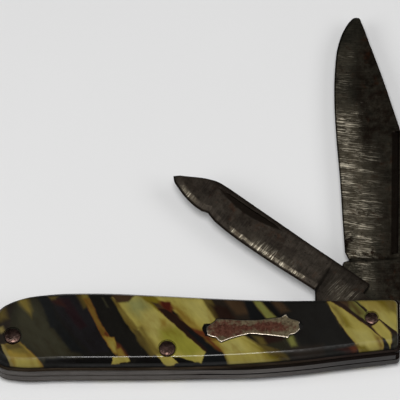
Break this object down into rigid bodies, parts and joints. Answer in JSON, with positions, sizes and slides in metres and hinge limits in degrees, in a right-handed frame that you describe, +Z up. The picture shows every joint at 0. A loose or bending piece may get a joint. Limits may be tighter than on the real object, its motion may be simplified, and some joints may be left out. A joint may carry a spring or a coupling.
{
  "type": "folding pocket knife",
  "caption": "Folding jack knife with a clip-point master blade and a pen blade on a shared end pin, marbled celluloid scales, metal liners, back springs and an inlaid bar shield.",
  "frame": {"origin": "on the flat outer face of the back scale, half way along the handle and 2.6 mm nearer the back than the pivot pin", "axes": "+X along the handle towards the end with the pivot pin, +Y towards the edge the blades open from, +Z up through the thickness towards the shield"},
  "size_m": [0.0872, 0.0825, 0.0115],
  "materials": {
    "marbled_celluloid": "polished celluloid, marbled in yellow, olive, brown and black",
    "tarnished_brass_liner": "rolled sheet, tarnished brown-grey",
    "worn_spring_steel": "ground along the back, aged grey",
    "carbon_blade_steel": "ground across the blade, dark patina with fine pitting",
    "peened_pin_steel": "peened heads, aged brown-grey",
    "worn_plated_shield": "worn nickel plating over a copper alloy"
  },
  "bodies": {
    "handle": {"back_scale": "marbled_celluloid", "front_scale": "marbled_celluloid", "back_liner": "tarnished_brass_liner", "center_liner": "tarnished_brass_liner", "front_liner": "tarnished_brass_liner", "master_spring": "worn_spring_steel", "pen_spring": "worn_spring_steel", "pivot_pin": "peened_pin_steel", "center_pin": "peened_pin_steel", "end_pin": "peened_pin_steel", "shield": "worn_plated_shield"},
    "master": {"master_blade": "carbon_blade_steel"},
    "pen": {"pen_blade": "carbon_blade_steel"}
  },
  "joints": [
    {"name": "master_blade_hinge", "type": "hinge", "parent": "handle", "child": "master", "pos_m": [0.03675, 0.0026, 0.00425], "axis": [0, 0, -1], "range_deg": [-86, 88.5]},
    {"name": "pen_blade_hinge", "type": "hinge", "parent": "handle", "child": "pen", "pos_m": [0.03675, 0.0026, 0.007], "axis": [0, 0, -1], "range_deg": [-35, 144]}
  ]
}
